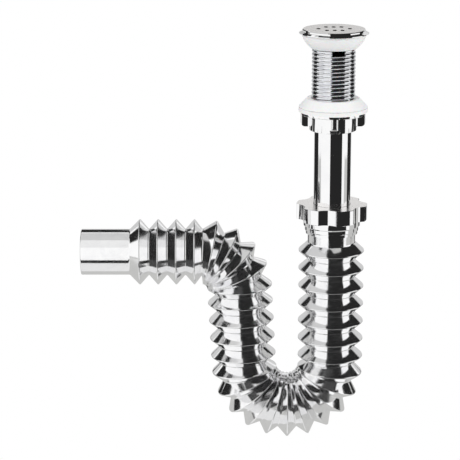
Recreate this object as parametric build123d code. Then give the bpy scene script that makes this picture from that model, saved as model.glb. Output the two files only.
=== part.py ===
from build123d import *
import os
from math import cos, radians, sin

# A flexible trap for a basin. The origin is on the axis of the waste, at the
# underside of its flange. +Z is up, the outlet points to -X, and all sizes are in millimetres.

# Waste: strainer disc, flange and threaded tail
flange_diameter = 59.6
flange_rim_height = 0.6
flange_slope_height = 1.3
flange_recess_depth = 0.6
flange_recess_clearance = 0.3
disc_diameter = 54.0
disc_height = 3.6
disc_edge_radius = 0.7
disc_thickness = 2.4
tail_diameter = 37.4
tail_wall = 2.1
tail_end_chamfer = 1.0
strainer_hole_diameter = 3.2
strainer_outer_offset = 13.3
strainer_row_offset = 9.0
strainer_row_pitch = 6.6
overflow_width = 11.0
overflow_height = 5.2
overflow_turn_angle = 10.0
overflow_overlap = 0.4

# White gaskets on the tail
gasket_clearance = 0.2
upper_gasket_diameter = 54.6
upper_gasket_edge = 2.2
upper_gasket_height = 12.7
upper_gasket_lip = 0.9
upper_gasket_bulge = 0.9
lower_gasket_seat_diameter = 45.0
lower_gasket_diameter = 59.4
lower_gasket_cone_height = 7.3
lower_gasket_rim_height = 4.0
basin_clamp_height = 56.0

# Union nut that holds the tail tube to the waste
union_nut_diameter = 55.4
union_nut_collar_height = 2.6
union_nut_height = 16.4
union_nut_wall = 1.3
union_nut_web = 2.2
union_wing_count = 4
union_wing_height = 10.8
union_wing_thickness = 4.4
union_wing_edge_radius = 2.0
union_wing_root_radius = 2.0
union_wing_tip_radius = 3.6
nut_edge_chamfer = 0.7
thread_clearance = 0.3
washer_thickness = 1.5

# Tail tube
tube_diameter = 32.0
tube_wall = 1.2
tube_collar_clearance = 0.4
tube_collar_thickness = 1.7
tube_visible_length = 65.7
tube_insertion = 56.0
tube_end_chamfer = 0.5

# Slip nut and its seals
slip_nut_diameter = 61.2
slip_nut_waist_diameter = 52.4
slip_nut_lobe_count = 6
slip_nut_lobe_height = 13.2
slip_nut_lobe_edge_radius = 0.8
slip_nut_flute_radius = 12.5
slip_nut_turn_angle = -10.0
slip_nut_band_diameter = 49.4
slip_nut_band_height = 4.4
slip_nut_bevel_height = 1.2
slip_nut_step_diameter = 46.8
slip_nut_step_height = 2.5
slip_nut_mouth_height = 3.0
slip_nut_lip = 0.8
slip_nut_web = 3.4
friction_ring_thickness = 1.2
seal_flange_thickness = 2.4
seal_cone_length = 7.0
seal_cone_taper = 1.6
running_clearance = 0.3
seal_clearance = 0.2
stack_clearance = 0.1

# Flexible pipe: neck, bellows and outlet
neck_diameter = 41.6
neck_wall = 2.0
neck_visible_length = 9.9
crest_diameter = 57.2
root_diameter = 40.0
bellows_wall = 1.8
right_leg_lead_in = 7.5
right_leg_pitch = 16.0
right_leg_crest_count = 7
right_leg_lead_out = 9.0
u_bend_inner_gap = 9.4
u_bend_first_crest_angle = 6.0
u_bend_crest_count = 11
u_bend_end_angle = 3.3
left_leg_lean_angle = 3.2
left_leg_lead_in = 11.9
left_leg_pitch = 16.15
left_leg_crest_count = 4
left_leg_lead_out = 13.35
elbow_inner_gap = 4.8
elbow_first_crest_angle = 1.5
elbow_crest_count = 5
elbow_end_angle = 12.9
arm_lead_in = 6.0
arm_pitch = 15.9
arm_crest_count = 4
arm_lead_out = 8.8
spigot_length = 42.5
spigot_end_chamfer = 0.6
bore_overrun = 1.0

# Radii, angles and levels that follow from the sizes above
tail_radius = tail_diameter / 2
tail_bore_radius = tail_radius - tail_wall
tube_radius = tube_diameter / 2
tube_collar_radius = tail_radius - tube_collar_clearance
neck_radius = neck_diameter / 2
neck_bore_radius = neck_radius - neck_wall
crest_radius = crest_diameter / 2
root_radius = root_diameter / 2
gasket_bore_radius = tail_radius + gasket_clearance
nut_bore_radius = neck_radius + thread_clearance
tube_hole_radius = tube_radius + running_clearance
u_bend_turn_angle = left_leg_lean_angle - 180
elbow_turn_angle = 90 - left_leg_lean_angle

lower_gasket_top = -basin_clamp_height
lower_gasket_bottom = lower_gasket_top - lower_gasket_cone_height - lower_gasket_rim_height
union_nut_top = lower_gasket_bottom
union_nut_bottom = union_nut_top - union_nut_height
collar_bottom = union_nut_bottom + union_nut_web + stack_clearance
collar_top = collar_bottom + tube_collar_thickness
washer_bottom = collar_top
washer_top = washer_bottom + washer_thickness
tail_bottom = washer_top + stack_clearance
slip_nut_top = union_nut_bottom - tube_visible_length
slip_nut_lobe_bottom = slip_nut_top - slip_nut_lobe_height
slip_nut_band_bottom = slip_nut_lobe_bottom - slip_nut_band_height
slip_nut_step_top = slip_nut_band_bottom - slip_nut_bevel_height
slip_nut_step_bottom = slip_nut_step_top - slip_nut_step_height
slip_nut_bottom = slip_nut_step_bottom - slip_nut_mouth_height
ring_top = slip_nut_top - slip_nut_web - stack_clearance
ring_bottom = ring_top - friction_ring_thickness
seal_top = ring_bottom
seal_flange_bottom = seal_top - seal_flange_thickness
neck_top = seal_flange_bottom - stack_clearance
neck_bottom = slip_nut_bottom - neck_visible_length
tube_bottom = slip_nut_top - tube_insertion


def turned(points):
    """A solid of revolution about Z, from a closed outline of (radius, height) points."""
    outline = Polyline(*points, close=True)
    return revolve(Plane.XZ * make_face(outline), Axis.Z)


def ring(inner_radius, outer_radius, bottom, top):
    """A plain ring about Z."""
    return turned([(inner_radius, bottom), (outer_radius, bottom), (outer_radius, top), (inner_radius, top)])


def waste_body():
    """Strainer disc on a sloped flange, with a tail that carries the thread."""
    flange_radius = flange_diameter / 2
    disc_radius = disc_diameter / 2
    recess_radius = upper_gasket_diameter / 2 + flange_recess_clearance
    slope_top = flange_rim_height + flange_slope_height
    body = turned([
        (0, disc_height),
        (disc_radius - disc_edge_radius, disc_height),
        (disc_radius, disc_height - disc_edge_radius),
        (disc_radius, slope_top),
        (flange_radius, flange_rim_height),
        (flange_radius, 0),
        (recess_radius, 0),
        (recess_radius, flange_recess_depth),
        (tail_radius, flange_recess_depth),
        (tail_radius, tail_bottom + tail_end_chamfer),
        (tail_radius - tail_end_chamfer, tail_bottom),
        (tail_bore_radius, tail_bottom),
        (tail_bore_radius, disc_height - disc_thickness),
        (0, disc_height - disc_thickness),
    ])
    hole_places = [(side * strainer_outer_offset, 0) for side in (-1, 1)]
    for row in (-1, 1):
        hole_places += [(step * strainer_row_pitch, row * strainer_row_offset) for step in (-1, 0, 1)]
    drill = Cylinder(strainer_hole_diameter / 2, 3 * disc_height)
    body -= [Pos(x, y, disc_height) * drill for x, y in hole_places]
    overflow_top = overflow_overlap - upper_gasket_height
    cutter = Box(overflow_width, tail_diameter + 2 * tail_wall, overflow_height)
    cutter = Pos(0, 0, overflow_top - overflow_height / 2) * Rot(0, 0, overflow_turn_angle) * cutter
    return body - cutter


def upper_gasket():
    """White cup under the flange: a short straight edge, then a bulged side down to a thin lip."""
    edge_radius = upper_gasket_diameter / 2
    lip_radius = gasket_bore_radius + upper_gasket_lip
    bulge_point = (
        (edge_radius + lip_radius) / 2 + upper_gasket_bulge,
        -(upper_gasket_edge + upper_gasket_height) / 2 - upper_gasket_bulge / 2,
    )
    edge_bottom = (edge_radius, -upper_gasket_edge)
    lip = (lip_radius, -upper_gasket_height)
    outline = Polyline(
        lip,
        (gasket_bore_radius, -upper_gasket_height),
        (gasket_bore_radius, flange_recess_depth),
        (edge_radius, flange_recess_depth),
        edge_bottom,
    )
    outline += ThreePointArc(edge_bottom, bulge_point, lip)
    return revolve(Plane.XZ * make_face(outline), Axis.Z)


def lower_gasket():
    """White cone that presses up against the underside of the basin."""
    rim_radius = lower_gasket_diameter / 2
    return turned([
        (gasket_bore_radius, lower_gasket_top),
        (lower_gasket_seat_diameter / 2, lower_gasket_top),
        (rim_radius, lower_gasket_top - lower_gasket_cone_height),
        (rim_radius, lower_gasket_bottom),
        (gasket_bore_radius, lower_gasket_bottom),
    ])


def drum(radius, bottom, top):
    """A round block with chamfered ends."""
    return turned([
        (0, bottom),
        (radius - nut_edge_chamfer, bottom),
        (radius, bottom + nut_edge_chamfer),
        (radius, top - nut_edge_chamfer),
        (radius - nut_edge_chamfer, top),
        (0, top),
    ])


def winged_section(body_radius, tip_radius):
    """Plan of the union nut: a round body with straight wings for the fingers."""
    wing = Pos(tip_radius / 2, 0) * Rectangle(tip_radius, union_wing_thickness)
    wing = fillet(wing.vertices().group_by(Axis.X)[-1], union_wing_edge_radius)
    section = Circle(body_radius)
    for step in range(union_wing_count):
        section += Rot(0, 0, 360 / union_wing_count * step) * wing
    roots = section.vertices().sort_by_distance((0, 0))[: 2 * union_wing_count]
    return fillet(roots, union_wing_root_radius)


def union_nut():
    """Nut with a round collar, four wings below it and a web that holds the collar of the tube."""
    tip_radius = union_nut_diameter / 2
    bore_radius = tail_radius + thread_clearance
    body_radius = bore_radius + union_nut_wall
    collar_under = union_nut_top - union_nut_collar_height
    wing_bottom = collar_under - union_wing_height
    section = winged_section(body_radius, tip_radius)
    wings = extrude(Pos(0, 0, wing_bottom) * section, collar_under - wing_bottom)
    limit = Pos(0, 0, wing_bottom) * Cylinder(
        tip_radius,
        collar_under - wing_bottom,
        align=(Align.CENTER, Align.CENTER, Align.MIN),
    )
    wings &= fillet(limit.edges().group_by(Axis.Z)[0], union_wing_tip_radius)
    body = drum(body_radius, union_nut_bottom, union_nut_top) + wings
    body += drum(tip_radius, collar_under, union_nut_top)
    body -= ring(0, bore_radius, union_nut_bottom + union_nut_web, union_nut_top)
    return body - ring(0, tube_hole_radius, union_nut_bottom, union_nut_top)


def tail_washer():
    """Flat rubber washer between the end of the tail and the collar of the tube."""
    return ring(tail_bore_radius, tube_collar_radius, washer_bottom, washer_top)


def tail_tube():
    """Plain tube with a collar at its top end."""
    bore_radius = tube_radius - tube_wall
    return turned([
        (bore_radius, collar_top),
        (tube_collar_radius, collar_top),
        (tube_collar_radius, collar_bottom),
        (tube_radius, collar_bottom),
        (tube_radius, tube_bottom + tube_end_chamfer),
        (tube_radius - tube_end_chamfer, tube_bottom),
        (bore_radius, tube_bottom),
    ])


def lobed_section():
    """Plan of the slip nut: a circle with wide hollow flutes, which leave lobes between them."""
    section = Circle(slip_nut_diameter / 2)
    flute = Pos(slip_nut_waist_diameter / 2 + slip_nut_flute_radius, 0) * Circle(slip_nut_flute_radius)
    pitch = 360 / slip_nut_lobe_count
    for step in range(slip_nut_lobe_count):
        section -= Rot(0, 0, slip_nut_turn_angle + pitch * (step + 0.5)) * flute
    return fillet(section.vertices(), slip_nut_lobe_edge_radius)


def slip_nut():
    """Larger nut with lobes for the hand and a stepped skirt below them."""
    radius = slip_nut_diameter / 2
    band_radius = slip_nut_band_diameter / 2
    step_radius = slip_nut_step_diameter / 2
    lobes = extrude(Pos(0, 0, slip_nut_lobe_bottom) * lobed_section(), slip_nut_lobe_height)
    lobes &= drum(radius, slip_nut_lobe_bottom, slip_nut_top)
    skirt = turned([
        (0, slip_nut_lobe_bottom),
        (band_radius, slip_nut_lobe_bottom),
        (band_radius, slip_nut_band_bottom),
        (step_radius, slip_nut_step_top),
        (step_radius, slip_nut_step_bottom),
        (nut_bore_radius + slip_nut_lip, slip_nut_bottom),
        (0, slip_nut_bottom),
    ])
    body = lobes + skirt
    body -= ring(0, nut_bore_radius, slip_nut_bottom, slip_nut_top - slip_nut_web)
    return body - ring(0, tube_hole_radius, slip_nut_bottom, slip_nut_top)


def friction_ring():
    """Thin ring that lets the nut turn without dragging the seal."""
    return ring(tube_hole_radius, neck_radius, ring_bottom, ring_top)


def slip_seal():
    """Rubber cone washer: a flange on the end of the neck and a cone down into its mouth."""
    cone_radius = neck_bore_radius - running_clearance
    return turned([
        (tube_radius + seal_clearance, seal_top),
        (neck_radius, seal_top),
        (neck_radius, seal_flange_bottom),
        (cone_radius, seal_flange_bottom),
        (cone_radius - seal_cone_taper, seal_flange_bottom - seal_cone_length),
        (tube_radius + seal_clearance, seal_flange_bottom - seal_cone_length),
    ])


def straight_run(lead_in, pitch, crests, lead_out):
    """A straight stretch of bellows: its length, no turn, and how far along each crest lies."""
    length = lead_in + (crests - 1) * pitch + lead_out
    return length, 0, [lead_in + step * pitch for step in range(crests)]


def bend_run(inner_gap, turn, first_angle, crests, end_angle):
    """A bend of the bellows, with its crests fanned out evenly. A positive turn is to the left."""
    length = radians(abs(turn)) * (crest_radius + inner_gap)
    pitch = (abs(turn) - first_angle - end_angle) / (crests - 1)
    angles = [first_angle + step * pitch for step in range(crests)]
    return length, turn, [length * angle / abs(turn) for angle in angles]


def bellows_runs():
    """The five stretches of the bellows, from the neck down, round, up and out along the arm."""
    return [
        straight_run(right_leg_lead_in, right_leg_pitch, right_leg_crest_count, right_leg_lead_out),
        bend_run(
            u_bend_inner_gap,
            u_bend_turn_angle,
            u_bend_first_crest_angle,
            u_bend_crest_count,
            u_bend_end_angle,
        ),
        straight_run(left_leg_lead_in, left_leg_pitch, left_leg_crest_count, left_leg_lead_out),
        bend_run(
            elbow_inner_gap,
            elbow_turn_angle,
            elbow_first_crest_angle,
            elbow_crest_count,
            elbow_end_angle,
        ),
        straight_run(arm_lead_in, arm_pitch, arm_crest_count, arm_lead_out),
    ]


def plane_along(runs, distance):
    """The plane across the bellows at a distance along its centre line."""
    x, z, heading = 0, neck_bottom, -90
    for length, turn, _ in runs:
        step = min(distance, length)
        if turn:
            radius = length / radians(turn)
            new_heading = heading + turn * step / length
            x += radius * (sin(radians(new_heading)) - sin(radians(heading)))
            z -= radius * (cos(radians(new_heading)) - cos(radians(heading)))
            heading = new_heading
        else:
            x += step * cos(radians(heading))
            z += step * sin(radians(heading))
        distance -= step
    direction = (cos(radians(heading)), 0, sin(radians(heading)))
    return Plane((x, 0, z), x_dir=(0, 1, 0), z_dir=direction)


def bellows(runs, inset, neck_section):
    """Ruled loft through every crest and root, from the neck to the outlet."""
    crests = []
    end = 0
    for length, _, offsets in runs:
        crests += [end + offset for offset in offsets]
        end += length
    valleys = [(this + following) / 2 for this, following in zip(crests, crests[1:])] + [end]
    sections = [plane_along(runs, 0) * Circle(neck_section)]
    for crest, valley in zip(crests, valleys):
        sections.append(plane_along(runs, crest) * Circle(crest_radius - inset))
        sections.append(plane_along(runs, valley) * Circle(root_radius - inset))
    return loft(sections, ruled=True)


def pipe_form(inset, neck_section, overrun):
    """The pipe as a solid rod, drawn in by an inset and run on past both of its ends."""
    runs = bellows_runs()
    outlet_plane = plane_along(runs, sum(length for length, _, _ in runs))
    neck = ring(0, neck_section, neck_bottom, neck_top + overrun)
    outlet = extrude(outlet_plane * Circle(root_radius - inset), spigot_length + overrun)
    if not overrun:
        outlet = chamfer(outlet.edges().sort_by(Axis.X)[0], spigot_end_chamfer)
    return neck + bellows(runs, inset, neck_section) + outlet


def flexible_pipe():
    """Neck, bellows and outlet, blown in one piece with a thin folded wall."""
    return pipe_form(0, neck_radius, 0) - pipe_form(bellows_wall, neck_bore_radius, bore_overrun)


os.makedirs("parts", exist_ok=True)
nodes = {
    "waste_body": waste_body(),
    "upper_gasket": upper_gasket(),
    "lower_gasket": lower_gasket(),
    "top_nut": union_nut(),
    "tail_washer": tail_washer(),
    "tail_tube": tail_tube(),
    "slip_nut": slip_nut(),
    "friction_ring": friction_ring(),
    "slip_seal": slip_seal(),
    "flexible_pipe": flexible_pipe(),
}
for name, solid in nodes.items():
    export_step(solid, f"parts/{name}.step")
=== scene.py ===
# %% [markdown]
# # A chromed flexible trap for a basin
# The trap hangs under a basin: a strainer waste on top, a plain tube that slides in a slip joint,
# and a bellows pipe that is bent by hand into a water seal. The CAD model gives every size and
# every moving body, so it is loaded first as a fixed frame. The looks are then modelled around
# it.

# %% Load the fixed frame
from math import atan2, cos, degrees, pi, radians, sin, tan, tau
import bpy
from mathutils import Matrix, Vector
from numpy import interp


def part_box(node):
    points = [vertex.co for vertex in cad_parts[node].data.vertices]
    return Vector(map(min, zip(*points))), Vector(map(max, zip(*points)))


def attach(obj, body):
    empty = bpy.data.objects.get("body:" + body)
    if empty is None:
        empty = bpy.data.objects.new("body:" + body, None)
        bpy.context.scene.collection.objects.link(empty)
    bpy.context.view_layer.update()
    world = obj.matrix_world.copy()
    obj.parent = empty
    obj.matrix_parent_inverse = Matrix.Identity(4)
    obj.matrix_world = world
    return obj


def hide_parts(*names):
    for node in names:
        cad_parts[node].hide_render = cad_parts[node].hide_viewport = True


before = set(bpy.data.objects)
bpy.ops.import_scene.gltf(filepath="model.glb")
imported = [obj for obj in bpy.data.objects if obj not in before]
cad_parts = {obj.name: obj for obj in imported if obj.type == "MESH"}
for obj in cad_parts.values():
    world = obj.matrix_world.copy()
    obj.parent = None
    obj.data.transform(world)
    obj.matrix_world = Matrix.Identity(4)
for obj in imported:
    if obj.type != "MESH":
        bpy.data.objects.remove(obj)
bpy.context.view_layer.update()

MM = 0.001

# %% [markdown]
# A part is easier to follow in millimetres, while Blender's unit here is the metre. One helper
# reads a CAD piece's box in millimetres, and two more save typing later: an operator acts on all
# that is selected, so each step starts by taking up one piece alone, and a modifier is applied as
# soon as it is set, so that what is left is plain mesh.

# %% Small helpers


def node_span(node):
    """Lowest and highest corner of a CAD piece, in millimetres."""
    low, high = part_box(node)
    return low / MM, high / MM


def take_up(piece):
    """Make one piece the only selected one, and the active one."""
    bpy.ops.object.select_all(action="DESELECT")
    piece.select_set(True)
    bpy.context.view_layer.objects.active = piece


def apply_modifier(piece, kind, **settings):
    """Add a modifier, set it up and apply it."""
    take_up(piece)
    modifier = piece.modifiers.new(kind.lower(), kind)
    for name, value in settings.items():
        setattr(modifier, name, value)
    bpy.ops.object.modifier_apply(modifier=modifier.name)


for node in sorted(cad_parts):
    low, high = node_span(node)
    print(node, [round(value, 1) for value in high - low])

# %% [markdown]
# Most of this trap is turned or moulded round: the waste, the tube, the gaskets. A cylinder could
# be cut and scaled ring by ring, but a turner thinks in a half outline. So one vertex is extruded
# along the outline, from (radius, height) points, and the outline is spun once round the Z axis.
# Spin leaves a seam of double points, which are merged before the faces are turned outwards.

# %% Lathe
ROUND_STEPS = 128
MERGE_DISTANCE = 0.005 * MM


def half_section(points):
    """Places in the XZ plane from (radius, height) points."""
    return [Vector((radius, 0, height)) for radius, height in points]


def draw_outline(name, places):
    """Extrude one vertex through places in millimetres, and stay in edit mode."""
    bpy.ops.object.select_all(action="DESELECT")
    bpy.ops.mesh.primitive_plane_add(size=MM)
    piece = bpy.context.object
    piece.name = piece.data.name = name
    bpy.ops.object.mode_set(mode="EDIT")
    bpy.ops.mesh.select_all(action="SELECT")
    bpy.ops.mesh.merge(type="CENTER")
    bpy.ops.transform.translate(value=places[0] * MM)
    for here, there in zip(places, places[1:]):
        bpy.ops.mesh.extrude_vertices_move(TRANSFORM_OT_translate={"value": (there - here) * MM})
    return piece


def close_shell():
    """Merge double points and turn all faces outwards, then leave edit mode."""
    bpy.ops.mesh.select_all(action="SELECT")
    bpy.ops.mesh.remove_doubles(threshold=MERGE_DISTANCE)
    bpy.ops.mesh.normals_make_consistent(inside=False)
    bpy.ops.object.mode_set(mode="OBJECT")


def turned(name, points, closed=True, steps=ROUND_STEPS):
    """A round piece from half of its section."""
    piece = draw_outline(name, half_section(points + points[:1] if closed else points))
    bpy.ops.mesh.select_all(action="SELECT")
    bpy.ops.mesh.spin(steps=steps, angle=tau, center=(0, 0, 0), axis=(0, 0, 1))
    close_shell()
    return piece


# %% [markdown]
# No real edge is perfectly sharp: plating and moulding round it a little, and that thin round is
# what catches the light. A Bevel modifier limited by angle finds those edges by itself. Weighted
# normals then keep the wide faces flat and leave all the bending of light to the narrow rounds.

# %% Soften edges
SHARP_ANGLE = radians(28)
SMOOTH_ANGLE = radians(50)


def shade(piece):
    """Smooth shading that keeps wide faces flat."""
    take_up(piece)
    bpy.ops.object.shade_smooth_by_angle(angle=SMOOTH_ANGLE)
    apply_modifier(piece, "WEIGHTED_NORMAL", weight=80, keep_sharp=True)


def soften(piece, width, segments=3):
    """Round the sharp edges by a width in millimetres, then shade the piece."""
    apply_modifier(
        piece,
        "BEVEL",
        width=width * MM,
        segments=segments,
        limit_method="ANGLE",
        angle_limit=SHARP_ANGLE,
        use_clamp_overlap=True,
    )
    shade(piece)
    print(piece.name, "has", len(piece.data.polygons), "faces")


def combine(piece, tool, operation):
    """Cut, join or limit a piece by a tool, which is used up."""
    apply_modifier(piece, "BOOLEAN", object=tool, operation=operation, solver="EXACT")
    bpy.data.objects.remove(tool)


# %% [markdown]
# ## The waste
# On top sits a flat strainer disc on a sloped flange, with a tail below it. The tail carries a
# thread, so here it is turned down to the bottom of the thread. The eight drain holes are drilled
# with a Boolean, as in the workshop. One cutter joins all eight drills, so a single Boolean does
# the work.

# %% Turn the waste
waste_low, waste_high = node_span("waste_body")
flange_radius = waste_high.x
disc_top = waste_high.z
tail_end = waste_low.z
disc_radius = 27.0
disc_chamfer = 0.6
rim_height = 0.6
slope_top = 1.9
recess_radius = 27.6
tail_radius = 18.7
thread_depth = 0.65
tail_bore = 16.6
plate_thickness = 2.4
plate_under = disc_top - plate_thickness
core_radius = tail_radius - thread_depth

waste = turned("strainer_waste", [
    (0, disc_top),
    (disc_radius - disc_chamfer, disc_top),
    (disc_radius, disc_top - disc_chamfer),
    (disc_radius, slope_top),
    (flange_radius, rim_height),
    (flange_radius, 0),
    (recess_radius, 0),
    (recess_radius, rim_height),
    (core_radius, rim_height),
    (core_radius, tail_end),
    (tail_bore, tail_end),
    (tail_bore, plate_under),
    (0, plate_under),
], closed=False)

# %% [markdown]
# The holes stand in two rows of three with one more at each side, each a little longer from front
# to back. Two overflow slots go through the tail just below the upper gasket. The slots are a
# little turned, so that one shows at the front right.

# %% Drill the strainer and cut the overflow slots
hole_radius = 1.8
hole_stretch = 1.8
side_hole = 13.3
row_offset = 9.0
row_pitch = 6.6
drill_length = 12
slot_size = (11.0, 44.0, 5.2)
slot_level = -14.9
slot_turn = radians(10)

hole_places = [(-side_hole, 0), (side_hole, 0)]
for row in (-row_offset, row_offset):
    hole_places += [(step * row_pitch, row) for step in (-1, 0, 1)]


def join(pieces):
    """Join several objects into the first one."""
    bpy.ops.object.select_all(action="DESELECT")
    for piece in pieces:
        piece.select_set(True)
    bpy.context.view_layer.objects.active = pieces[0]
    bpy.ops.object.join()
    return pieces[0]


def round_cutter(radius, height, x, y, level, vertices=48):
    """An upright drill or hollow cutter, sizes in millimetres."""
    bpy.ops.mesh.primitive_cylinder_add(
        vertices=vertices,
        radius=radius * MM,
        depth=height * MM,
        location=Vector((x, y, level)) * MM,
    )
    return bpy.context.object


def slot_cutter():
    """The bar that makes both overflow slots at once."""
    bpy.ops.mesh.primitive_cube_add(
        size=1,
        location=(0, 0, slot_level * MM),
        rotation=(0, 0, slot_turn),
        scale=Vector(slot_size) * MM,
    )
    return bpy.context.object


drills = [round_cutter(hole_radius, drill_length, x, y, disc_top) for x, y in hole_places]
for drill in drills:
    drill.scale.y = hole_stretch
combine(waste, join(drills), "DIFFERENCE")
combine(waste, slot_cutter(), "DIFFERENCE")
soften(waste, width=0.22)

# %% [markdown]
# ## The thread
# The tail has a coarse right-hand thread with narrow crests. It could be painted as bump, but its
# outline shows against the light, so it is real geometry: a Screw modifier winds one tooth
# section round the axis. The wound strip has open ends, which are filled, and the same slot
# cutter opens it over the slots.

# %% Wind the thread
thread_pitch = 3.3
thread_turns = 20
tooth_foot = 1.6
tooth_crest = 0.5
tooth_sunk = 0.05
tooth_root_radius = core_radius - tooth_sunk
thread_margin = 2.2
thread_start = tail_end + thread_margin

thread = draw_outline("tail_thread", half_section([
    (tooth_root_radius, thread_start - tooth_foot),
    (tail_radius, thread_start - tooth_crest),
    (tail_radius, thread_start + tooth_crest),
    (tooth_root_radius, thread_start + tooth_foot),
    (tooth_root_radius, thread_start - tooth_foot),
]))
close_shell()
apply_modifier(
    thread,
    "SCREW",
    axis="Z",
    angle=tau,
    screw_offset=thread_pitch * MM,
    iterations=thread_turns,
    steps=96,
    render_steps=96,
    use_merge_vertices=False,
)
take_up(thread)
bpy.ops.object.mode_set(mode="EDIT")
bpy.ops.mesh.select_all(action="SELECT")
bpy.ops.mesh.fill_holes(sides=0)
close_shell()
combine(thread, slot_cutter(), "DIFFERENCE")
soften(thread, width=0.18, segments=2)

# %% [markdown]
# ## The white gaskets
# The upper gasket is a soft cup between the flange and the basin. Its side bulges a little, so
# that part of its outline follows an arc. The lower one is a cone that is pressed up from below,
# and a fine groove parts the cone from its rim.

# %% Turn the gaskets
cup_low, cup_high = node_span("upper_gasket")
cup_radius = cup_high.x
cup_bottom = cup_low.z
gasket_gap = 0.2
gasket_bore = tail_radius + gasket_gap
cup_edge = -2.2
lip_width = 0.9
cup_lip = gasket_bore + lip_width
bulge_out = 0.81
bulge_down = 0.405
bulge_steps = 12

cup_side = []
for step in range(bulge_steps + 1):
    share = step / bulge_steps
    swell = sin(pi * share)
    cup_side.append((
        cup_radius + (cup_lip - cup_radius) * share + bulge_out * swell,
        cup_edge + (cup_bottom - cup_edge) * share - bulge_down * swell,
    ))
upper_gasket = turned("upper_cup_gasket", [
    (gasket_bore, cup_high.z),
    (cup_radius, cup_high.z),
    *cup_side,
    (gasket_bore, cup_bottom),
])
soften(upper_gasket, width=0.3)

cone_low, cone_high = node_span("lower_gasket")
cone_rim = cone_high.x
cone_seat = 22.5
cone_height = 7.3
rim_top = cone_high.z - cone_height
cone_inset = 0.3
cone_edge = 0.2
groove_depth = 1.1
groove_width = 0.6

lower_gasket = turned("lower_cone_gasket", [
    (gasket_bore, cone_high.z),
    (cone_seat, cone_high.z),
    (cone_rim - cone_inset, rim_top + cone_edge),
    (cone_rim - cone_inset, rim_top),
    (cone_rim - groove_depth, rim_top),
    (cone_rim - groove_depth, rim_top - groove_width),
    (cone_rim, rim_top - groove_width),
    (cone_rim, cone_low.z),
    (gasket_bore, cone_low.z),
])
soften(lower_gasket, width=0.12)

# %% [markdown]
# ## The tail tube
# A thin plain tube with a collar at the top, which the union nut pulls up against the waste. It
# is turned like the waste, with its bore, because its lower end shows when the joint is pulled
# apart.

# %% Turn the tail tube
tube_low, tube_high = node_span("tail_tube")
tube_radius = 16.0
tube_bore = 14.8
collar_radius = tube_high.x
collar_height = 1.7
collar_under = tube_high.z - collar_height

tube = turned("chromed_tail_tube", [
    (tube_bore, tube_high.z),
    (collar_radius, tube_high.z),
    (collar_radius, collar_under),
    (tube_radius, collar_under),
    (tube_radius, tube_low.z),
    (tube_bore, tube_low.z),
])
soften(tube, width=0.3)

# %% [markdown]
# ## The union nut
# Under its round collar the union nut has a plain round body with four straight wings for the
# fingers. The plan of the wings is drawn as one outline: round tips, and a hollow fillet where
# each wing meets the body. A quarter of it is worked out and turned three times, then the outline
# is filled and extruded.

# %% Plan of the wings
nut_low, nut_high = node_span("top_nut")
nut_radius = nut_high.x
thread_gap = 0.3
nut_bore = tail_radius + thread_gap
nut_wall = 1.3
body_radius = nut_bore + nut_wall
wing_half = 2.2
tip_round = 1.0
root_round = 2.0
ARC_STEPS = 8


def arc(centre, radius, start, end):
    """Points of an arc in the XY plane, with angles in degrees."""
    points = []
    for step in range(ARC_STEPS + 1):
        angle = radians(start + (end - start) * step / ARC_STEPS)
        points.append(Vector(centre) + radius * Vector((cos(angle), sin(angle))))
    return points


root_height = wing_half + root_round
root_centre = (((body_radius + root_round) ** 2 - root_height ** 2) ** 0.5, root_height)
root_angle = degrees(atan2(root_height, root_centre[0]))
wing_plan = []
for quarter in range(4):
    side = arc((nut_radius - tip_round, wing_half - tip_round), tip_round, 0, 90)
    side += arc(root_centre, root_round, 270, 180 + root_angle)
    side += arc((0, 0), body_radius, root_angle, 90 - root_angle)[1:-1]
    side += [Vector((y, x)) for x, y in side[:2 * ARC_STEPS + 2]][::-1]
    wing_plan += [Matrix.Rotation(quarter * pi / 2, 2) @ point for point in side]
print("wing plan of", len(wing_plan), "points")

# %% [markdown]
# The lower corners of the wings are rounded, which a turned block with a rounded rim takes care
# of by an INTERSECT. Collar and body are joined on, with a millimetre of overlap so that no thin
# gap is left. Two bores finish the nut: a wide one for the thread, and a narrow one through the
# web that holds the collar of the tube.

# %% Make the union nut
NUT_CHAMFER = 0.3
OVERLAP = 1
nut_collar_height = 2.6
wing_height = 10.8
wing_corner = 3.6
nut_collar_under = nut_high.z - nut_collar_height
wing_bottom = nut_collar_under - wing_height
nut_web = 2.2
tube_gap = 0.3
tube_hole = tube_radius + tube_gap


def plate(name, plan, bottom, top):
    """A straight bar with a closed plan, between two heights in millimetres."""
    piece = draw_outline(name, [Vector((x, y, bottom)) for x, y in plan + plan[:1]])
    bpy.ops.mesh.select_all(action="SELECT")
    bpy.ops.mesh.remove_doubles(threshold=MERGE_DISTANCE)
    bpy.ops.mesh.edge_face_add()
    bpy.ops.mesh.extrude_region_move(TRANSFORM_OT_translate={"value": (0, 0, (top - bottom) * MM)})
    close_shell()
    return piece


def drum(radius, bottom, top):
    """A round block with chamfered ends."""
    return turned("drum", [
        (0, bottom),
        (radius - NUT_CHAMFER, bottom),
        (radius, bottom + NUT_CHAMFER),
        (radius, top - NUT_CHAMFER),
        (radius - NUT_CHAMFER, top),
        (0, top),
    ], closed=False)


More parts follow.
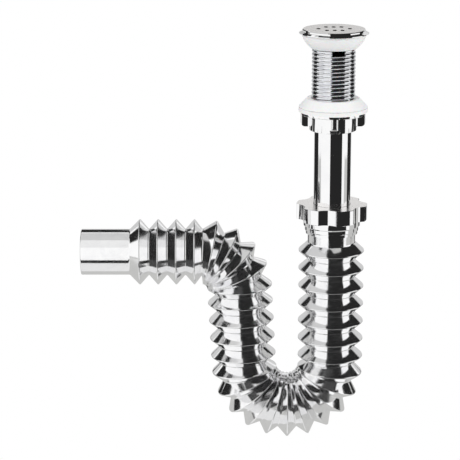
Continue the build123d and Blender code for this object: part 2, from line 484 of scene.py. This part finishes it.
rounded_rim = arc((nut_radius - wing_corner, wing_bottom + wing_corner), wing_corner, -90, 0)
limit = [(0, wing_bottom), *rounded_rim, (nut_radius, nut_high.z), (0, nut_high.z)]
union_nut = plate("winged_union_nut", wing_plan, wing_bottom, nut_collar_under + OVERLAP)
combine(union_nut, turned("limit", limit, closed=False), "INTERSECT")
soften(union_nut, width=0.3, segments=4)
combine(union_nut, drum(body_radius, nut_low.z, nut_high.z - OVERLAP), "UNION")
combine(union_nut, drum(nut_radius, nut_collar_under, nut_high.z), "UNION")
wide_length = 40
wide_middle = nut_low.z + nut_web + wide_length / 2
narrow_length = 60
wide_cutter = round_cutter(nut_bore, wide_length, 0, 0, wide_middle, ROUND_STEPS)
combine(union_nut, wide_cutter, "DIFFERENCE")
narrow_cutter = round_cutter(tube_hole, narrow_length, 0, 0, nut_low.z, ROUND_STEPS)
combine(union_nut, narrow_cutter, "DIFFERENCE")
soften(union_nut, width=0.25)

# %% [markdown]
# ## The slip nut
# The slip nut is larger. Six wide hollow flutes leave six lobes for the hand, so a turned block
# is cut by six round cutters at once, and the lobes are rounded before anything else is added.

# %% Cut the lobes of the slip nut
slip_low, slip_high = node_span("slip_nut")
LOBES = 6
slip_radius = 30.6
lobe_height = 13.2
lobe_under = slip_high.z - lobe_height
flute_radius = 12.5
flute_floor = 26.2
flute_place = flute_floor + flute_radius
flute_length = 60
flute_turn = 20

slip_nut = drum(slip_radius, lobe_under, slip_high.z)
slip_nut.name = slip_nut.data.name = "lobed_slip_nut"
flutes = []
for lobe in range(LOBES):
    angle = radians(flute_turn + 360 / LOBES * lobe)
    x = flute_place * cos(angle)
    y = flute_place * sin(angle)
    flutes.append(round_cutter(flute_radius, flute_length, x, y, lobe_under, vertices=96))
combine(slip_nut, join(flutes), "DIFFERENCE")
soften(slip_nut, width=0.6, segments=4)

# %% [markdown]
# Below the lobes a skirt steps down over the neck of the bellows: a wide band, a narrower step
# and a lip. It is turned on its own and joined on. Both bores are cut last, the wide one up to
# the web under the top.

# %% Add the skirt and the bores
band_radius = 24.7
band_under = lobe_under - 5.2
step_radius = 23.4
step_top = lobe_under - 6.4
step_under = lobe_under - 9.4
slip_bore = 21.1
lip_wall = 1.5
lip_radius = slip_bore + lip_wall
lip_top = lobe_under - 10.2
lip_drop = 1.4
lip_under = slip_low.z - lip_drop
slip_web = 3.4
seat = slip_high.z - slip_web
neck_room = 60
tube_room = 90

skirt = turned("skirt", [
    (0, lobe_under + OVERLAP),
    (band_radius, lobe_under + OVERLAP),
    (band_radius, band_under),
    (step_radius, step_top),
    (step_radius, step_under),
    (lip_radius, lip_top),
    (lip_radius, lip_under),
    (0, lip_under),
], closed=False)
combine(slip_nut, skirt, "UNION")
wide_cutter = round_cutter(slip_bore, neck_room, 0, 0, seat - neck_room / 2, ROUND_STEPS)
combine(slip_nut, wide_cutter, "DIFFERENCE")
narrow_cutter = round_cutter(tube_hole, tube_room, 0, 0, seat, ROUND_STEPS)
combine(slip_nut, narrow_cutter, "DIFFERENCE")
soften(slip_nut, width=0.25)

# %% [markdown]
# ## The bellows pipe
# This is the heart of the trap: a thin plastic pipe blown in one piece, with 31 sharp folds and a
# bright metal film. It leaves the mould straight and the plumber bends it, so it is made the same
# way here: a straight pipe is turned, folds and all, and then bent along a path. First comes the
# path, in stretches: a length, a turn, and how far along it each fold has its crest. In a bend
# the folds are closer together on the centre line.

# %% Lay out the folds
pipe_low, pipe_high = node_span("flexible_pipe")
neck_length = 27.0
right_leg = {"length": 112.5, "turn": 0, "first": 7.5, "pitch": 16.0, "crests": 7}
left_leg = {"length": 73.7, "turn": 0, "first": 11.9, "pitch": 16.15, "crests": 4}
arm = {"length": 62.5, "turn": 0, "first": 6.0, "pitch": 15.9, "crests": 4}
spigot_length = 42.5
left_leg_lean = 3.2


def bend(radius, turn, first_angle, end_angle, crests):
    """A bent stretch, with its folds spread evenly by angle."""
    pitch_angle = (abs(turn) - first_angle - end_angle) / (crests - 1)
    return {
        "length": radius * radians(abs(turn)),
        "turn": turn,
        "first": radius * radians(first_angle),
        "pitch": radius * radians(pitch_angle),
        "crests": crests,
    }


u_turn = left_leg_lean - 180
u_bend = bend(radius=38.0, turn=u_turn, first_angle=6.0, end_angle=3.3, crests=11)
elbow_turn = 90 - left_leg_lean
elbow = bend(radius=33.4, turn=elbow_turn, first_angle=1.5, end_angle=12.9, crests=5)
stretches = [right_leg, u_bend, left_leg, elbow, arm]

crest_places = []
bellows_end = neck_length
for stretch in stretches:
    for fold in range(stretch["crests"]):
        crest_places.append(bellows_end + stretch["first"] + fold * stretch["pitch"])
    bellows_end += stretch["length"]
pipe_end = bellows_end + spigot_length
root_places = [(here + there) / 2 for here, there in zip(crest_places, crest_places[1:])]
root_places.append(bellows_end)
print(len(crest_places), "folds on", round(pipe_end, 1), "mm of pipe")

# %% [markdown]
# The half section is a zigzag: out to a crest, in to a root, and so on, with the inner wall
# following it back. The outline is drawn a little proud of the crests, because the Bevel modifier
# then rounds every fold and takes that much off.

# %% Turn the straight pipe
crest_radius = pipe_high.y
root_radius = 20.0
wall = 1.8
neck_radius = 20.8
neck_bore = 18.8
fold_round = 0.9
fold_proud = 0.38
PIPE_STEPS = 112

outer_wall = [(neck_radius, 0), (neck_radius, neck_length)]
inner_wall = [(neck_bore, 0), (neck_bore, neck_length)]
for crest, root in zip(crest_places, root_places):
    outer_wall += [(crest_radius + fold_proud, crest), (root_radius, root)]
    inner_wall += [(crest_radius + fold_proud - wall, crest), (root_radius - wall, root)]
outer_wall.append((root_radius, pipe_end))
inner_wall.append((root_radius - wall, pipe_end))

pipe = turned("bellows_pipe", outer_wall + inner_wall[::-1], steps=PIPE_STEPS)
apply_modifier(
    pipe,
    "BEVEL",
    width=fold_round * MM,
    segments=4,
    limit_method="ANGLE",
    angle_limit=radians(20),
)
print(pipe.name, "has", len(pipe.data.polygons), "faces")

# %% [markdown]
# Where a bend squeezes the folds together, a real bellows cannot keep its full depth: the film
# bulges out of the closing grooves. No operator picks one side of chosen folds, so the points are
# moved by a small formula. The more a point lies to the inner side of its bend, the more of the
# groove is filled.

# %% Fill the squeezed grooves
squeezed = []
bend_start = neck_length
for stretch in stretches:
    if stretch["turn"]:
        inner_side = 1 if stretch["turn"] < 0 else -1
        squeezed.append((bend_start, bend_start + stretch["length"], inner_side))
    bend_start += stretch["length"]

groove_left = 0.1
fade_length = 6
inward_power = 4
wall_heights = [height for _, height in outer_wall]
wall_radii = [radius for radius, _ in outer_wall]
for point in pipe.data.vertices:
    x, y, z = point.co / MM
    radius = (x * x + y * y) ** 0.5
    full = crest_radius - groove_left
    if radius < interp(z, wall_heights, wall_radii) - wall / 2:
        full -= wall
    for start, end, inner_side in squeezed:
        inward = max(0, inner_side * x / radius)
        fade = min(1, max(0, min(z - start, end - z) / fade_length))
        grow = 1 + fade * inward ** inward_power * max(0, full - radius) / radius
        point.co.x *= grow
        point.co.y *= grow
print("grooves left", groove_left, "mm deep inside", len(squeezed), "bends")

# %% [markdown]
# A Curve modifier carries the pipe along a path, as bending does: folds close up on the inside of
# a bend and open on the outside. The path is a Bezier curve of straight lines and arcs. Each arc
# is split into short pieces whose handles have the length that makes a Bezier piece follow a
# circle.

# %% Bend the pipe along its path
ARC_PIECES = 4


def path_knots():
    """Bezier points along the pipe: place, way in and way out, with handle lengths, in millimetres."""
    place = Vector((0, 0, pipe_high.z))
    heading = -90.0
    knots = [{"place": place, "heading": heading, "before": 0, "after": 0}]
    neck = {"length": neck_length, "turn": 0}
    spigot = {"length": spigot_length, "turn": 0}
    for stretch in [neck, *stretches, spigot]:
        pieces = ARC_PIECES if stretch["turn"] else 1
        length = stretch["length"] / pieces
        turn = stretch["turn"] / pieces
        for _ in range(pieces):
            chord = length
            handle = length / 3
            if turn:
                radius = length / radians(abs(turn))
                chord = 2 * radius * sin(radians(abs(turn)) / 2)
                handle = 4 / 3 * tan(radians(abs(turn)) / 4) * radius
            middle = radians(heading + turn / 2)
            place = place + chord * Vector((cos(middle), 0, sin(middle)))
            heading += turn
            knots[-1]["after"] = handle
            knots.append({"place": place, "heading": heading, "before": handle, "after": 0})
    return knots


knots = path_knots()
path_curve = bpy.data.curves.new("pipe_path", "CURVE")
path_curve.dimensions = "3D"
path_curve.twist_mode = "MINIMUM"
path_curve.resolution_u = 64
spline = path_curve.splines.new("BEZIER")
spline.bezier_points.add(len(knots) - 1)
for point, knot in zip(spline.bezier_points, knots):
    angle = radians(knot["heading"])
    way = Vector((cos(angle), 0, sin(angle)))
    point.handle_left_type = point.handle_right_type = "FREE"
    point.co = knot["place"] * MM
    point.handle_left = (knot["place"] - knot["before"] * way) * MM
    point.handle_right = (knot["place"] + knot["after"] * way) * MM
path = bpy.data.objects.new("pipe_path", path_curve)
bpy.context.scene.collection.objects.link(path)

apply_modifier(pipe, "CURVE", object=path, deform_axis="POS_Z")
bpy.data.objects.remove(path)
shade(pipe)
pipe_corners = [pipe.matrix_world @ Vector(corner) / MM for corner in pipe.bound_box]
for axis, letter in enumerate("XYZ"):
    values = [corner[axis] for corner in pipe_corners]
    print(letter, "of the pipe:", round(min(values), 2), "to", round(max(values), 2))
    print(letter, "in the CAD:", round(pipe_low[axis], 2), "to", round(pipe_high[axis], 2))

# %% [markdown]
# ## Finishes
# Every finish here shares one effect: the faint marks that handling leaves. It is a node group,
# built once, that puts out two values which change over the surface: soft smudges, and a low
# swell of the surface. Each material decides how much of them it takes. All patterns read Object
# coordinates, so they stay on the piece when it moves.

# %% Shared surface marks
SWELL_SHARE = 0.5


def add_node(tree, kind, **inputs):
    """A node with some of its input sockets set, by name."""
    node = tree.nodes.new(kind)
    for name, value in inputs.items():
        node.inputs[name.replace("_", " ")].default_value = value
    return node


def surface_marks():
    """Node group: Smudge and Swell, both from 0 to 1, at a scale given in marks for each metre."""
    group = bpy.data.node_groups.new("surface_marks", "ShaderNodeTree")
    group.interface.new_socket("Scale", in_out="INPUT", socket_type="NodeSocketFloat")
    group.interface.new_socket("Smudge", in_out="OUTPUT", socket_type="NodeSocketFloat")
    group.interface.new_socket("Swell", in_out="OUTPUT", socket_type="NodeSocketFloat")
    entry = group.nodes.new("NodeGroupInput")
    leave = group.nodes.new("NodeGroupOutput")
    place = group.nodes.new("ShaderNodeTexCoord")
    smudge = add_node(group, "ShaderNodeTexNoise", Detail=6.0, Roughness=0.62, Distortion=0.6)
    swell = add_node(group, "ShaderNodeTexNoise", Detail=1.0, Roughness=0.4)
    contrast = add_node(group, "ShaderNodeMapRange", From_Min=0.36, From_Max=0.68)
    slower = group.nodes.new("ShaderNodeMath")
    slower.operation = "MULTIPLY"
    slower.inputs[1].default_value = SWELL_SHARE
    links = group.links
    links.new(place.outputs["Object"], smudge.inputs["Vector"])
    links.new(place.outputs["Object"], swell.inputs["Vector"])
    links.new(entry.outputs["Scale"], smudge.inputs["Scale"])
    links.new(entry.outputs["Scale"], slower.inputs[0])
    links.new(slower.outputs["Value"], swell.inputs["Scale"])
    links.new(smudge.outputs["Fac"], contrast.inputs["Value"])
    links.new(contrast.outputs["Result"], leave.inputs["Smudge"])
    links.new(swell.outputs["Fac"], leave.inputs["Swell"])
    return group


marks_group = surface_marks()

# %% [markdown]
# A material starts from the marks: the smudges choose between two close colours and between two
# roughnesses, and the swell bends the normal through a Bump node. Chrome plate, white plastic and
# rubber differ only in those values and in what is set on the shader itself.

# %% Marked finishes


def marked_finish(name, clean, marked, roughness, marks_scale, bump, **shader_values):
    """A material that varies with the marks. Roughness is a range, bump a strength and millimetres."""
    material = bpy.data.materials.new(name)
    material.use_nodes = True
    tree = material.node_tree
    shader = tree.nodes["Principled BSDF"]
    for socket, value in shader_values.items():
        shader.inputs[socket.replace("_", " ")].default_value = value
    marks = tree.nodes.new("ShaderNodeGroup")
    marks.node_tree = marks_group
    marks.inputs["Scale"].default_value = marks_scale
    tint = tree.nodes.new("ShaderNodeMix")
    tint.data_type = "RGBA"
    tint.inputs["A"].default_value = (*clean, 1)
    tint.inputs["B"].default_value = (*marked, 1)
    gloss = add_node(tree, "ShaderNodeMapRange", To_Min=roughness[0], To_Max=roughness[1])
    relief = add_node(tree, "ShaderNodeBump", Strength=bump[0], Distance=bump[1] * MM)
    tree.links.new(marks.outputs["Smudge"], tint.inputs["Factor"])
    tree.links.new(marks.outputs["Smudge"], gloss.inputs["Value"])
    tree.links.new(marks.outputs["Swell"], relief.inputs["Height"])
    tree.links.new(tint.outputs["Result"], shader.inputs["Base Color"])
    tree.links.new(gloss.outputs["Result"], shader.inputs["Roughness"])
    tree.links.new(relief.outputs["Normal"], shader.inputs["Normal"])
    return material


bright_chrome = marked_finish(
    "bright_chrome",
    clean=(0.96, 0.96, 0.96),
    marked=(0.92, 0.92, 0.93),
    roughness=(0.02, 0.06),
    marks_scale=70,
    bump=(0.15, 0.15),
    Metallic=1.0,
)
film_chrome = marked_finish(
    "film_chrome",
    clean=(0.98, 0.98, 0.98),
    marked=(0.94, 0.94, 0.95),
    roughness=(0.08, 0.15),
    marks_scale=90,
    bump=(0.35, 0.25),
    Metallic=1.0,
)
thread_chrome = marked_finish(
    "thread_chrome",
    clean=(0.86, 0.87, 0.89),
    marked=(0.72, 0.73, 0.77),
    roughness=(0.08, 0.18),
    marks_scale=160,
    bump=(0.2, 0.1),
    Metallic=1.0,
)
# Nearly black: painted shade for the bore of the waste and the walls of the strainer's holes.
painted_shade_inside = marked_finish(
    "painted_shade_inside",
    clean=(0.030, 0.028, 0.026),
    marked=(0.06, 0.055, 0.05),
    roughness=(0.5, 0.7),
    marks_scale=200,
    bump=(0.3, 0.1),
    Metallic=0.4,
)

# %% [markdown]
# The plastics and the rubber are not metallic. The white gaskets also let a little light into the
# material, which Subsurface does. The rubber and the plain ring hide inside the joints.

# %% Plastic and rubber
white_plastic = marked_finish(
    "white_plastic",
    clean=(0.91, 0.91, 0.91),
    marked=(0.88, 0.88, 0.88),
    roughness=(0.34, 0.48),
    marks_scale=120,
    bump=(0.2, 0.12),
    Subsurface_Weight=0.12,
    Subsurface_Scale=0.004,
)
black_rubber = marked_finish(
    "black_rubber",
    clean=(0.022, 0.022, 0.023),
    marked=(0.05, 0.05, 0.05),
    roughness=(0.55, 0.8),
    marks_scale=300,
    bump=(0.5, 0.15),
)
plain_plastic = marked_finish(
    "plain_plastic",
    clean=(0.70, 0.68, 0.63),
    marked=(0.60, 0.58, 0.54),
    roughness=(0.4, 0.55),
    marks_scale=150,
    bump=(0.3, 0.1),
)
print("finishes:", [material.name for material in bpy.data.materials])

# %% [markdown]
# The strainer's face is not mirror bright. It was faced on a lathe, which leaves very fine rings
# round the centre. The distance from the axis drives a noise in one dimension, so the rings are
# uneven like real ones. The top of the slip nut takes the same finish.

# %% Satin face


def satin_face():
    """Pale satin metal with fine turned rings about the Z axis."""
    material = bpy.data.materials.new("satin_face")
    material.use_nodes = True
    tree = material.node_tree
    shader = tree.nodes["Principled BSDF"]
    shader.inputs["Metallic"].default_value = 1.0
    place = tree.nodes.new("ShaderNodeTexCoord")
    flat = tree.nodes.new("ShaderNodeVectorMath")
    flat.operation = "MULTIPLY"
    flat.inputs[1].default_value = (1, 1, 0)
    distance = tree.nodes.new("ShaderNodeVectorMath")
    distance.operation = "LENGTH"
    rings = add_node(tree, "ShaderNodeTexNoise", Scale=2600, Detail=3)
    rings.noise_dimensions = "1D"
    tint = tree.nodes.new("ShaderNodeMix")
    tint.data_type = "RGBA"
    tint.inputs["A"].default_value = (0.86, 0.84, 0.82, 1)
    tint.inputs["B"].default_value = (0.95, 0.93, 0.92, 1)
    gloss = add_node(tree, "ShaderNodeMapRange", To_Min=0.20, To_Max=0.30)
    relief = add_node(tree, "ShaderNodeBump", Strength=0.12, Distance=0.05 * MM)
    links = tree.links
    links.new(place.outputs["Object"], flat.inputs[0])
    links.new(flat.outputs["Vector"], distance.inputs[0])
    links.new(distance.outputs["Value"], rings.inputs["W"])
    links.new(rings.outputs["Fac"], tint.inputs["Factor"])
    links.new(rings.outputs["Fac"], gloss.inputs["Value"])
    links.new(rings.outputs["Fac"], relief.inputs["Height"])
    links.new(tint.outputs["Result"], shader.inputs["Base Color"])
    links.new(gloss.outputs["Result"], shader.inputs["Roughness"])
    links.new(relief.outputs["Normal"], shader.inputs["Normal"])
    return material


satin = satin_face()

# %% [markdown]
# Now each piece gets its finish and the body that carries it, and the CAD piece that it stands for is
# hidden.

# %% Dress the pieces


def dress(piece, finish, body, slot, *nodes):
    """Give a piece its material and the body that carries it, and hide the CAD pieces that it stands
    for.
    """
    piece.data.materials.clear()
    piece.data.materials.append(finish)
    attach(piece, body)
    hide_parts(*nodes)


dress(waste, bright_chrome, "waste", "waste_chrome", "waste_body")
dress(thread, thread_chrome, "waste", "waste_chrome", "waste_body")
dress(upper_gasket, white_plastic, "waste", "white_gasket", "upper_gasket")
dress(lower_gasket, white_plastic, "union", "white_gasket", "lower_gasket")
dress(union_nut, bright_chrome, "union", "nut_chrome", "top_nut")
dress(tube, bright_chrome, "tube", "tube_chrome", "tail_tube")
dress(slip_nut, bright_chrome, "slip_cap", "nut_chrome", "slip_nut")
dress(pipe, film_chrome, "pipe", "bellows_chrome", "flexible_pipe")

hidden_finishes = {
    "tail_washer": black_rubber,
    "slip_seal": black_rubber,
    "friction_ring": plain_plastic,
}
for node, finish in hidden_finishes.items():
    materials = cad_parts[node].data.materials
    materials.clear()
    materials.append(finish)
print("hidden pieces keep their CAD shape:", list(hidden_finishes))

# %% [markdown]
# Two pieces take more than one material. A face stores the number of its material slot, so faces
# are picked by height and normal: the upward faces at the very top turn satin, and the bore of
# the waste, with the walls of the strainer's holes, turns nearly black: painted shade that keeps
# the holes dark.

# %% Second materials
LOOKS_UP = 0.9
TOLERANCE = 0.1
bright_end = 2
hole_edge = 0.01


def is_top(face, top):
    """Whether a face looks up and lies at a height in millimetres."""
    return face.normal.z > LOOKS_UP and face.center.z / MM > top - TOLERANCE


waste.data.materials.append(satin)
# The third slot is the painted shade for the bore and the hole walls, all but the lowest part of the
# tail.
waste.data.materials.append(painted_shade_inside)
for face in waste.data.polygons:
    in_bore = face.center.xy.length / MM < tail_bore + TOLERANCE
    if is_top(face, disc_top):
        face.material_index = 1
    elif in_bore and tail_end + bright_end < face.center.z / MM < disc_top - hole_edge:
        face.material_index = 2

slip_nut.data.materials.append(satin)
for face in slip_nut.data.polygons:
    if is_top(face, slip_high.z):
        face.material_index = 1
satin_faces = sum(face.material_index == 1 for face in waste.data.polygons)
print(satin_faces, "satin faces on the strainer")

# %% [markdown]
# ## The studio
# Chrome has no look of its own: it shows what stands around it. So the room is built for its
# reflection, as a product photographer does. The floor comes first. A Light Path node tells which
# kind of ray arrives, so the floor can be white to the camera, grey in the chrome, and a plain
# surface that bounces light up.

# %% Floor
FLOOR_LEVEL = -0.45


def floor_finish():
    """White to the camera, pale grey in a reflection, and a plain pale surface for light and shadow."""
    material = bpy.data.materials.new("pale_floor")
    material.use_nodes = True
    tree = material.node_tree
    shader = tree.nodes["Principled BSDF"]
    shader.inputs["Base Color"].default_value = (0.96, 0.96, 0.96, 1)
    shader.inputs["Roughness"].default_value = 0.9
    out = tree.nodes["Material Output"]
    rays = tree.nodes.new("ShaderNodeLightPath")
    white = add_node(tree, "ShaderNodeEmission", Color=(1, 1, 1, 1))
    grey = add_node(tree, "ShaderNodeEmission", Color=(0.56, 0.56, 0.55, 1))
    shine = tree.nodes.new("ShaderNodeMath")
    shine.operation = "MAXIMUM"
    in_mirror = tree.nodes.new("ShaderNodeMixShader")
    in_view = tree.nodes.new("ShaderNodeMixShader")
    links = tree.links
    links.new(rays.outputs["Is Glossy Ray"], shine.inputs[0])
    links.new(rays.outputs["Is Transmission Ray"], shine.inputs[1])
    links.new(shine.outputs["Value"], in_mirror.inputs["Fac"])
    links.new(shader.outputs["BSDF"], in_mirror.inputs[1])
    links.new(grey.outputs["Emission"], in_mirror.inputs[2])
    links.new(rays.outputs["Is Camera Ray"], in_view.inputs["Fac"])
    links.new(in_mirror.outputs["Shader"], in_view.inputs[1])
    links.new(white.outputs["Emission"], in_view.inputs[2])
    links.new(in_view.outputs["Shader"], out.inputs["Surface"])
    return material


bpy.ops.object.select_all(action="DESELECT")
bpy.ops.mesh.primitive_plane_add(size=1, location=(0, 0.3, FLOOR_LEVEL))
floor = bpy.context.object
floor.name = "floor"
floor.scale = (3, 1.2, 1)
floor.data.materials.append(floor_finish())

# %% [markdown]
# Around the trap stand flat cards of one brightness each, from black to nearly white. They are
# seen only by reflections, so they never block the view. A plane is one metre wide, so its scale
# is the size of the card.

# %% Cards


def plain_emission(name, level):
    """A plain card material of one brightness."""
    material = bpy.data.materials.new(name)
    material.use_nodes = True
    tree = material.node_tree
    tree.nodes.clear()
    glow = add_node(tree, "ShaderNodeEmission", Color=(level, level, level, 1))
    out = tree.nodes.new("ShaderNodeOutputMaterial")
    tree.links.new(glow.outputs["Emission"], out.inputs["Surface"])
    return material


def card(name, corner, opposite, level):
    """A flat card between two opposite corners that share one coordinate, seen by reflections only."""
    low = Vector(map(min, corner, opposite))
    high = Vector(map(max, corner, opposite))
    thin_axis = min(range(3), key=lambda axis: high[axis] - low[axis])
    turns = ((0, pi / 2, 0), (pi / 2, 0, 0), (0, 0, 0))
    bpy.ops.object.select_all(action="DESELECT")
    bpy.ops.mesh.primitive_plane_add(size=1, location=(low + high) / 2, rotation=turns[thin_axis])
    board = bpy.context.object
    board.name = name
    size = high - low
    board.scale = {0: (size.z, size.y, 1), 1: (size.x, size.z, 1), 2: (size.x, size.y, 1)}[thin_axis]
    board.data.materials.append(plain_emission(name, level))
    board.visible_camera = False
    board.visible_diffuse = False
    board.visible_shadow = False
    board.visible_transmission = False


# %% [markdown]
# The large front flag draws the dark band down the tube and the legs, and the ceiling over it is
# dark too. To the left the ceiling is pale, which opens up the arm. The cards at the back set
# what faces that look up, and the sides of the folds, mirror. Cards that overlap stand a little
# apart. All places are in metres.

# %% Place the cards
DARK = 0.02
FLAG_EDGE = -0.18
FRONT = -0.6
BACK = 0.8
NEAR_BACK = 0.79
NEARER_BACK = 0.785
CEILING = 0.75
PALE_TOP = 0.18
SKIRTING_TOP = -0.24
LOW_FLOOR = FLOOR_LEVEL + 0.001
HIGH_FLOOR = FLOOR_LEVEL + 0.002

card("front_flag", (FLAG_EDGE, FRONT, -0.75), (0.98, FRONT, CEILING), DARK)
card("dark_ceiling", (FLAG_EDGE, FRONT, CEILING), (1.2, BACK, CEILING), DARK)
card("pale_ceiling", (-1.2, -0.25, CEILING), (FLAG_EDGE, 0.65, CEILING), 0.62)
card("bright_ceiling", (-1.2, -1.3, CEILING), (FLAG_EDGE, -0.25, CEILING), 0.86)
card("pale_backdrop", (-0.8, BACK, FLOOR_LEVEL), (0.8, BACK, PALE_TOP), 0.62)
card("tall_backdrop", (-0.1, NEAR_BACK, PALE_TOP), (0.5, NEAR_BACK, 0.5), 0.75)
card("bright_backdrop", (-0.1, NEARER_BACK, -0.1), (0.3, NEARER_BACK, 0.06), 0.95)
card("left_backdrop", (-0.22, NEARER_BACK, 0.1), (-0.1, NEARER_BACK, 0.42), 0.5)
card("dark_backdrop", (-1.0, BACK, PALE_TOP), (1.0, BACK, 0.76), DARK)
card("back_flag", (-0.36, NEAR_BACK, 0.03), (-0.135, NEAR_BACK, PALE_TOP), DARK)
card("left_corner", (-1.0, 0.21, FLOOR_LEVEL), (-1.0, BACK, CEILING), DARK)
card("right_corner", (1.0, 0.22, FLOOR_LEVEL), (1.0, BACK, CEILING), DARK)
card("left_skirting", (-1.0, NEAR_BACK, FLOOR_LEVEL), (-0.38, NEAR_BACK, SKIRTING_TOP), DARK)
card("right_skirting", (0.42, NEAR_BACK, FLOOR_LEVEL), (1.0, NEAR_BACK, SKIRTING_TOP), DARK)
card("floor_edge", (-0.8, -0.5, HIGH_FLOOR), (FLAG_EDGE, -0.28, HIGH_FLOOR), DARK)
card("bright_floor", (-1.2, -0.28, LOW_FLOOR), (0.0, 0.03, LOW_FLOOR), 0.8)
card("front_floor", (FLAG_EDGE, FRONT, HIGH_FLOOR), (0.45, -0.15, HIGH_FLOOR), 0.06)

# %% [markdown]
# The world is plain white, both to the camera and in the chrome, and lights matt surfaces a
# little less. Two soft lamps give the white plastic its gentle shading. They are kept out of
# reflections, because the cards are already there.

# %% World and lamps
world = bpy.data.worlds.new("white_surround")
bpy.context.scene.world = world
world.use_nodes = True
world_tree = world.node_tree
background = world_tree.nodes["Background"]
background.inputs["Color"].default_value = (1, 1, 1, 1)
world_rays = world_tree.nodes.new("ShaderNodeLightPath")
world_level = add_node(world_tree, "ShaderNodeMapRange", To_Min=1.0, To_Max=0.72)
world_tree.links.new(world_rays.outputs["Is Diffuse Ray"], world_level.inputs["Value"])
world_tree.links.new(world_level.outputs["Result"], background.inputs["Strength"])


def soft_lamp(name, place, target, size, power):
    """A square soft box that points at a target, with its size in metres and its power in watts."""
    bpy.ops.object.light_add(type="AREA", location=place)
    lamp = bpy.context.object
    lamp.name = name
    lamp.data.size = size
    lamp.data.energy = power
    lamp.rotation_euler = (Vector(target) - Vector(place)).to_track_quat("-Z", "Y").to_euler()
    lamp.visible_glossy = False
    lamp.visible_camera = False


lamp_target = (0, 0, -0.15)
soft_lamp("left_soft_box", (-0.9, -0.9, 0.7), lamp_target, size=0.9, power=7)
soft_lamp("right_soft_box", (1.0, -0.5, 0.3), lamp_target, size=0.7, power=4)

# %% [markdown]
# ## The camera
# The trap is seen from the front through a long lens, looking down about 15 degrees: the
# strainer's disc shows as a thin oval and the folds of the legs as shallow arcs.

# %% Camera
CAMERA_PITCH = radians(15)
CAMERA_DISTANCE = 1.744
aim = Vector((-0.0885, 0, -0.1734))
bpy.ops.object.camera_add(
    location=aim + CAMERA_DISTANCE * Vector((0, -cos(CAMERA_PITCH), sin(CAMERA_PITCH))),
    rotation=(pi / 2 - CAMERA_PITCH, 0, 0),
)
camera = bpy.context.object
camera.data.sensor_width = 36
camera.data.lens = 156.5
bpy.context.scene.camera = camera
bpy.context.scene.view_settings.view_transform = "Standard"
print("camera at", [round(value, 3) for value in camera.location])
